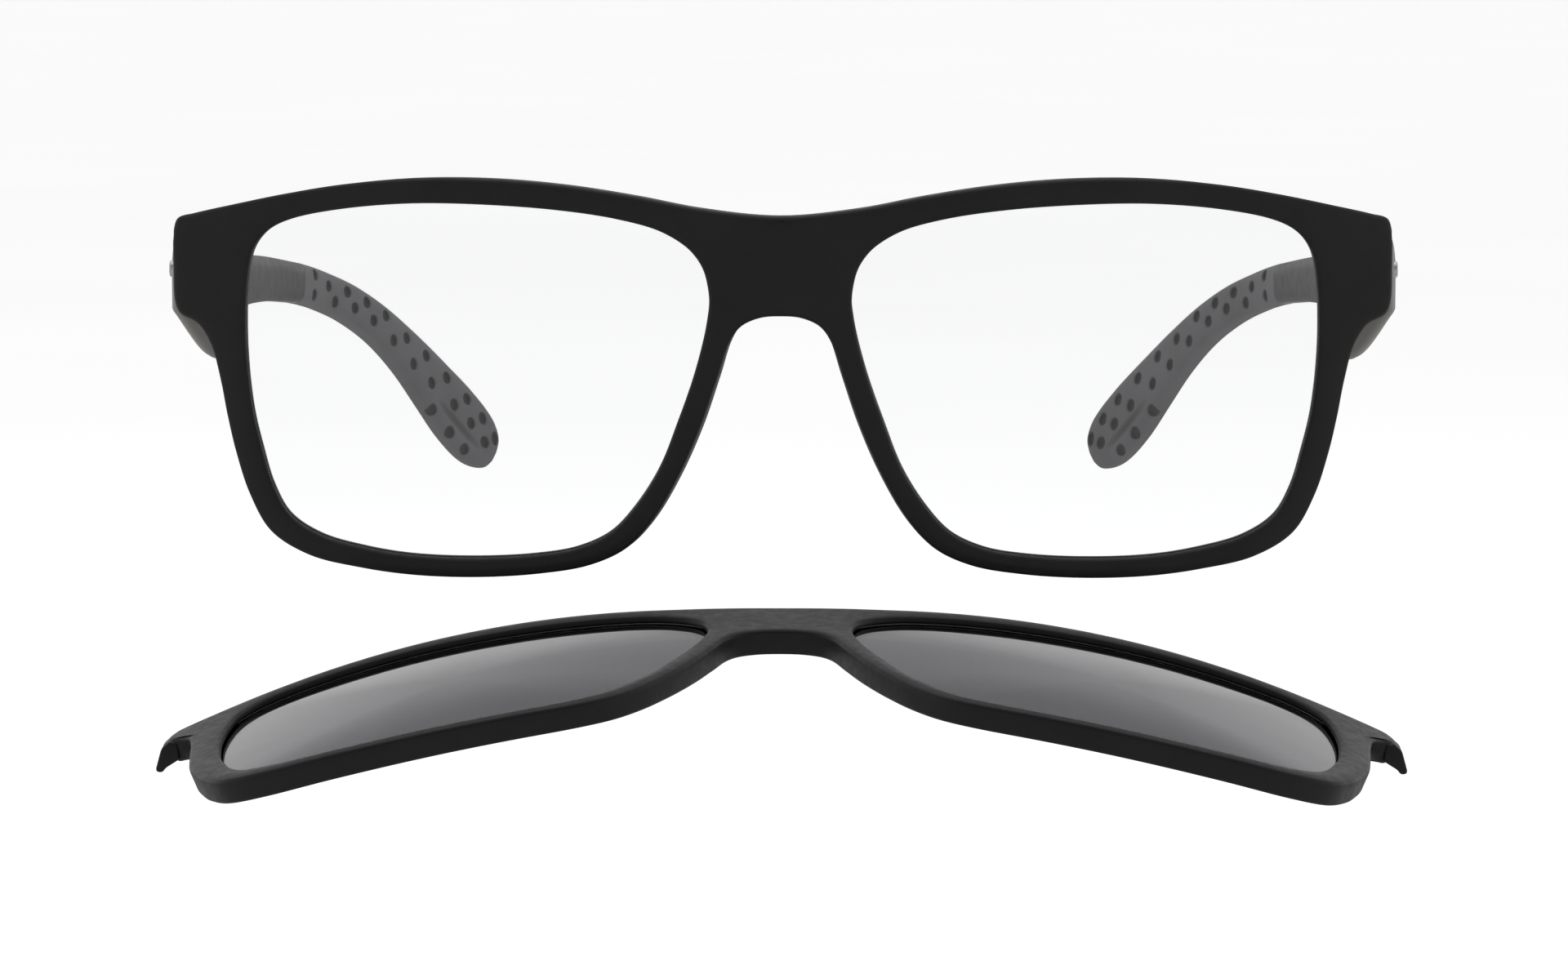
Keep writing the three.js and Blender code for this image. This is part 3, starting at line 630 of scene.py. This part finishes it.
def temple_arm(hand, side, material):
    """The temple from the hinge to the sleeve, with the holes for the hinge leaf and the stud."""
    along, sections = path_of(TEMPLE, ARM_MESH["spacing"])
    start = rounded_start(sections[0])
    kept = sections[:, 1] > sections[0, 1] + FRONT_ROUNDING
    sections = np.vstack([start, sections[kept]])
    along = np.concatenate([np.zeros(len(start)), along[kept]])
    made = loft(f"arm_{hand}", side, along, sections, ARM_MESH["sides"])
    seat = {**STUD, "radius": STUD["radius"] + FIT_GAP, "length": STUD["length"] + 2 * FIT_GAP}
    stud_seat = disc("seat", side, seat, STUD["z"], CUTTER_EDGE)
    combine(made, [box_between("tang", side, *TANG_POCKET), stud_seat], "DIFFERENCE")
    return finished(opened(made, side), f"{hand}_temple", [f"temple_{hand}"], material)


def temple_grip(hand, side, material):
    """The dimpled sleeve that ends the temple."""
    along, sections = path_of(SLEEVE, SLEEVE_MESH["spacing"])
    sections[:, 3:5] -= SLEEVE_INSET
    tip = rounded_end(sections)
    sections = np.vstack([sections, tip])
    along = np.concatenate([along, np.full(len(tip), along[-1])])
    made = opened(loft(f"grip_{hand}", side, along, sections, SLEEVE_MESH["sides"], grip_relief), side)
    return finished(made, f"{hand}_temple", [f"temple_sleeve_{hand}"], material, sharp=60)


def temple_stud(hand, side, material):
    """The small round stud beside the hinge."""
    made = opened(disc(f"stud_{hand}", side, LOW_STUD, STUD["z"], STUD_EDGE), side)
    return finished(made, f"{hand}_temple", [f"temple_stud_{hand}"], material)


# ---- materials --------------------------------------------------------------------------

class Nodes:
    """The node tree of a material or a world, with small helpers."""

    def __init__(self, owner):
        owner.use_nodes = True
        self.tree = owner.node_tree

    def node(self, kind, **settings):
        made = self.tree.nodes.new(kind)
        for key, value in settings.items():
            setattr(made, key, value)
        return made

    def link(self, source, target):
        self.tree.links.new(source, target)

    def feed(self, target, value):
        """Gives a socket a value, or links it to another socket."""
        if isinstance(value, (float, tuple)):
            target.default_value = value
        else:
            self.link(value, target)

    def maths(self, operation, first, second):
        made = self.node("ShaderNodeMath", operation=operation)
        self.feed(made.inputs[0], first)
        self.feed(made.inputs[1], second)
        return made.outputs[0]

    def mapped(self, value, start, end, low, high):
        """low where value is at start, high where it is at end, and held beyond them."""
        made = self.node("ShaderNodeMapRange")
        for socket, number in (("From Min", start), ("From Max", end), ("To Min", low), ("To Max", high)):
            made.inputs[socket].default_value = number
        self.link(value, made.inputs["Value"])
        return made.outputs["Result"]

    def part(self, vector, axis):
        made = self.node("ShaderNodeSeparateXYZ")
        self.link(vector, made.inputs[0])
        return made.outputs[axis]

    def seen_plainly(self):
        """1 for what is seen directly or through a lens, 0 for what only lights or mirrors."""
        path = self.node("ShaderNodeLightPath")
        return self.maths("MAXIMUM", path.outputs["Is Camera Ray"], path.outputs["Is Transmission Ray"])


class Finish(Nodes):
    """A Principled material. Its noises follow the object's own coordinates."""

    def __init__(self, name, **sockets):
        self.material = bpy.data.materials.new(name)
        super().__init__(self.material)
        self.shader = self.tree.nodes["Principled BSDF"]
        for socket, value in sockets.items():
            self.shader.inputs[socket.replace("_", " ")].default_value = value
        self.coordinates = self.node("ShaderNodeTexCoord")
        self.place = self.coordinates.outputs["Object"]

    def noise(self, size_mm, detail=4.0, roughness=0.6, stretch=None):
        """Noise with features of about size_mm, optionally stretched along the axes."""
        made = self.node("ShaderNodeTexNoise")
        made.inputs["Scale"].default_value = 1 / (size_mm * MM)
        made.inputs["Detail"].default_value = detail
        made.inputs["Roughness"].default_value = roughness
        place = self.place
        if stretch:
            scaled = self.node("ShaderNodeMapping")
            scaled.inputs["Scale"].default_value = stretch
            self.link(place, scaled.inputs["Vector"])
            place = scaled.outputs["Vector"]
        self.link(place, made.inputs["Vector"])
        return made.outputs["Fac"]

    def ramp(self, value, low, high, at=(0.35, 0.65)):
        """Maps a 0 to 1 value between two colours or greys."""
        made = self.node("ShaderNodeValToRGB")
        for stop, place, colour in zip(made.color_ramp.elements, at, (low, high)):
            stop.position = place
            stop.color = colour if isinstance(colour, tuple) else (colour, colour, colour, 1)
        self.link(value, made.inputs["Fac"])
        return made.outputs["Color"]

    def mixed(self, share, low, high):
        """low where share is 0 and high where it is 1; each a colour or a socket."""
        made = self.node("ShaderNodeMix", data_type="RGBA")
        colours = [socket for socket in made.inputs if socket.type == "RGBA"]
        self.link(share, made.inputs["Factor"])
        self.feed(colours[0], low)
        self.feed(colours[1], high)
        return next(socket for socket in made.outputs if socket.type == "RGBA")

    def lit_outer_side(self):
        """1 on faces turned away from the middle plane of the object, 0 on those turned to it: the
        product of normal and place along X is negative on the latter."""
        product = self.node("ShaderNodeVectorMath", operation="MULTIPLY")
        self.link(self.coordinates.outputs["Normal"], product.inputs[0])
        self.link(self.place, product.inputs[1])
        return self.mapped(self.part(product.outputs[0], "X"), -0.03, 0.0, 0.0, 1.0)

    def colour(self, socket):
        self.link(socket, self.shader.inputs["Base Color"])

    def roughness(self, socket):
        self.link(socket, self.shader.inputs["Roughness"])

    def bump(self, height, depth_mm):
        """A surface relief of depth_mm, from a height of 0 to 1."""
        made = self.node("ShaderNodeBump")
        made.inputs["Strength"].default_value = 1.0
        made.inputs["Distance"].default_value = depth_mm * MM
        self.link(height, made.inputs["Height"])
        self.link(made.outputs["Normal"], self.shader.inputs["Normal"])


def grey(level, tint=(0, 0)):
    """A linear colour from an sRGB level of 0 to 255, with its red and blue raised by tint."""
    s = level / 255
    linear = s / 12.92 if s <= 0.04045 else ((s + 0.055) / 1.055) ** 2.4
    return (linear * (1 + tint[0]), linear, linear * (1 + tint[1]), 1)


def moulded_black(name, level, rough, shine):
    """Matte injected nylon: a fine eroded grain, with slow drifts in tone and sheen."""
    finish = Finish(name, Specular_IOR_Level=shine)
    finish.colour(finish.ramp(finish.noise(9, 3), grey(level - 2), grey(level + 2, (0, 0.03))))
    finish.roughness(finish.ramp(finish.noise(1.2, 5), rough - 0.05, rough + 0.05))
    finish.bump(finish.noise(0.16, 3, 0.7), 0.0008)
    return finish.material


def moulded_grey():
    """Moulded grey, with a purplish inner side darkened as painted shade and a paler, warmer outer side as
    painted side light.
    """
    finish = Finish("arm_plastic", Specular_IOR_Level=0.4)
    drift = finish.noise(12, 3)
    # Painted light: the inner side is painted darker for the shade between the temples, and the outer side
    # paler and warmer for the side light and sheen it catches. The grey itself is the plastic's own colour.
    inside = finish.ramp(drift, grey(70, (0.02, 0.05)), grey(76, (0.02, 0.06)))
    outside = finish.ramp(drift, grey(156, (0.04, -0.05)), grey(164, (0.03, -0.06)))
    finish.colour(finish.mixed(finish.lit_outer_side(), inside, outside))
    finish.roughness(finish.ramp(finish.noise(1.5, 5), 0.42, 0.52))
    finish.bump(finish.noise(0.2, 3, 0.7), 0.0005)
    return finish.material


def soft_rubber():
    """Soft-touch rubber: dull, with a fine peachy grain, a little dust-grey drift, and painted shade in its
    dimples.
    """
    finish = Finish("grip_rubber", Specular_IOR_Level=0.3)
    flat = finish.ramp(finish.noise(7, 4), grey(120, (0.03, 0.04)), grey(126, (0.02, 0.05)))
    # Painted shade: the dimples are painted darker the deeper each point is pressed in.
    pit = finish.node("ShaderNodeAttribute", attribute_name="pit").outputs["Fac"]
    finish.colour(finish.mixed(finish.ramp(pit, 0, 1, at=(0.1, 0.35)), flat, grey(84)))
    finish.roughness(finish.ramp(finish.noise(0.8, 5), 0.6, 0.72))
    finish.bump(finish.noise(0.15, 3, 0.7), 0.0005)
    return finish.material


def clear_lens():
    """Clear lens with a low reflection, as a coated one has, and hardly visible smears."""
    finish = Finish("clear_lens", IOR=1.25, Transmission_Weight=1.0)
    finish.shader.inputs["Base Color"].default_value = (0.985, 0.99, 0.99, 1)
    finish.roughness(finish.ramp(finish.noise(5, 4), 0.0, 0.012))
    return finish.material


def smoke_lens():
    """Tinted lens: the smoke grey drifts very slightly, and the polish carries faint haze."""
    finish = Finish("smoke_lens", IOR=1.5, Transmission_Weight=1.0)
    thick, thin = (0.040, 0.040, 0.048, 1), (0.046, 0.046, 0.055, 1)
    finish.colour(finish.ramp(finish.noise(20, 3), thick, thin))
    finish.roughness(finish.ramp(finish.noise(3, 6), 0.02, 0.06))
    return finish.material


def steel(name, level, rough, brush):
    """Metal with fine brushing along one axis."""
    finish = Finish(name, Metallic=1.0)
    lines = finish.noise(0.3, 4, 0.6, stretch=brush)
    finish.colour(finish.ramp(lines, grey(level - 12), grey(level + 8)))
    finish.roughness(finish.ramp(lines, rough - 0.06, rough + 0.08))
    finish.bump(lines, 0.003)
    return finish.material


# ---- building ---------------------------------------------------------------------------

def lenses(hand, side, stations, clear, smoke):
    """The clear lens of the frame and the sun lens of the clip-on."""
    pane = lens_body(f"pane_{hand}", stations, side, FRONT_LENS, straight_wall)
    finished(pane, "front", [f"front_lens_{hand}"], clear)
    sun = to_rest(lens_body(f"sun_pane_{hand}", stations, side, CLIP_LENS, square_wall))
    finished(sun, "clip_on", [f"sun_lens_{hand}"], smoke)


def build():
    black = moulded_black("frame_black", 46, 0.5, 0.22)
    clip_black = moulded_black("clip_black", 27, 0.44, 0.32)
    arm, rubber = moulded_grey(), soft_rubber()
    clear, smoke = clear_lens(), smoke_lens()
    nickel = steel("nickel_disc", 205, 0.22, (1, 1, 1))
    hinge = steel("hinge_steel", 190, 0.34, (0.2, 0.2, 1))
    screw = steel("screw_steel", 205, 0.25, (1, 1, 0.2))
    satin = steel("stud_steel", 215, 0.42, (1, 0.2, 1))
    kept_materials = {
        "frame_magnet": nickel, "clip_magnet": nickel, "front_hinge_leaf": hinge,
        "temple_hinge_leaf": hinge, "hinge_screw": screw,
    }

    stations = stations_of(RIBS)
    spectacle_front(stations, black)
    clip_front(stations_of(clip_ribs()), clip_black)
    for hand, side in SIDES:
        lenses(hand, side, stations, clear, smoke)
        temple_arm(hand, side, arm)
        temple_grip(hand, side, rubber)
        temple_stud(hand, side, satin)
        for node, material in kept_materials.items():
            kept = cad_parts[f"{node}_{hand}"]
            kept.data.materials.clear()
            kept.data.materials.append(material)


# ---- stage ------------------------------------------------------------------------------

CAMERA_PLACE = (0.00723, -0.60296, 0.04037)  # this and the floor's sizes are in metres
CAMERA_TURN = math.radians(0.65)
CAMERA_PITCH = math.radians(5.76)
CAMERA_LENS = 118.87
FLOOR_DROP = 0.06  # how far the floor lies under the lowest edge
FLOOR_HALF = 40.0
FLOOR_GLOW = 0.6
# How the sky's level changes with its direction: from and to along the axis, then the two levels.
SKY_FADE = (-0.8, 0.0, 0.4, 1.0)  # along Y, away from the camera
SKY_DOME = (0.12, 0.42, 1.0, 0.42)  # along Z, from just above the horizon


def add_camera():
    """The camera, a little above the object and looking slightly down and to the left."""
    data = bpy.data.cameras.new("camera")
    data.lens = CAMERA_LENS
    data.sensor_width = 36
    data.clip_start, data.clip_end = 0.01, 50
    camera = bpy.data.objects.new("camera", data)
    camera.location = CAMERA_PLACE
    camera.rotation_euler = (math.pi / 2 - CAMERA_PITCH, 0, CAMERA_TURN)
    bpy.context.scene.collection.objects.link(camera)
    bpy.context.scene.camera = camera


def paper():
    """Pale paper that glows a little where it is seen, so that it meets the white backdrop."""
    finish = Finish("floor_paper", Roughness=0.9, Specular_IOR_Level=0.1)
    finish.colour(finish.ramp(finish.noise(400, 2), 0.86, 0.9))
    glow = finish.node("ShaderNodeEmission")
    finish.link(finish.maths("MULTIPLY", finish.seen_plainly(), FLOOR_GLOW), glow.inputs["Strength"])
    both = finish.node("ShaderNodeAddShader")
    finish.link(finish.shader.outputs[0], both.inputs[0])
    finish.link(glow.outputs[0], both.inputs[1])
    finish.link(both.outputs[0], finish.tree.nodes["Material Output"].inputs["Surface"])
    return finish.material


def add_floor():
    """A wide pale floor under everything."""
    level = CAD_BOX[0][2] - FLOOR_DROP
    corners = [(x * FLOOR_HALF, y * FLOOR_HALF, level) for x, y in ((-1, -1), (1, -1), (1, 1), (-1, 1))]
    mesh = bpy.data.meshes.new("floor")
    mesh.from_pydata(corners, [], [(0, 1, 2, 3)])
    mesh.materials.append(paper())
    floor = bpy.data.objects.new("floor", mesh)
    bpy.context.scene.collection.objects.link(floor)


def add_world():
    """White behind, darker on the camera's side and overhead. What is seen past the object, or
    through a lens, is white all over."""
    world = bpy.data.worlds.new("studio")
    bpy.context.scene.world = world
    sky = Nodes(world)
    background = sky.tree.nodes["Background"]
    background.inputs["Color"].default_value = (1, 1, 1, 1)
    way = sky.node("ShaderNodeTexCoord").outputs["Generated"]
    fade = sky.mapped(sky.part(way, "Y"), *SKY_FADE)
    dome = sky.mapped(sky.part(way, "Z"), *SKY_DOME)
    level = sky.maths("MAXIMUM", sky.maths("MULTIPLY", fade, dome), sky.seen_plainly())
    sky.link(level, background.inputs["Strength"])


def add_lamp(name, place, aim, size, power):
    """A soft rectangular lamp turned to its aim."""
    data = bpy.data.lights.new(name, "AREA")
    data.shape = "RECTANGLE"
    data.size, data.size_y = size
    data.energy = power
    lamp = bpy.data.objects.new(name, data)
    lamp.location = place
    lamp.rotation_euler = (Vector(aim) - Vector(place)).to_track_quat("-Z", "Y").to_euler()
    bpy.context.scene.collection.objects.link(lamp)


def add_stage():
    bpy.context.scene.view_settings.view_transform = "Standard"
    add_camera()
    add_floor()
    add_world()
    add_lamp("overhead", (0, 0.15, 0.8), (0, 0.03, 0), (1.2, 0.9), 2.1)


build()
add_stage()
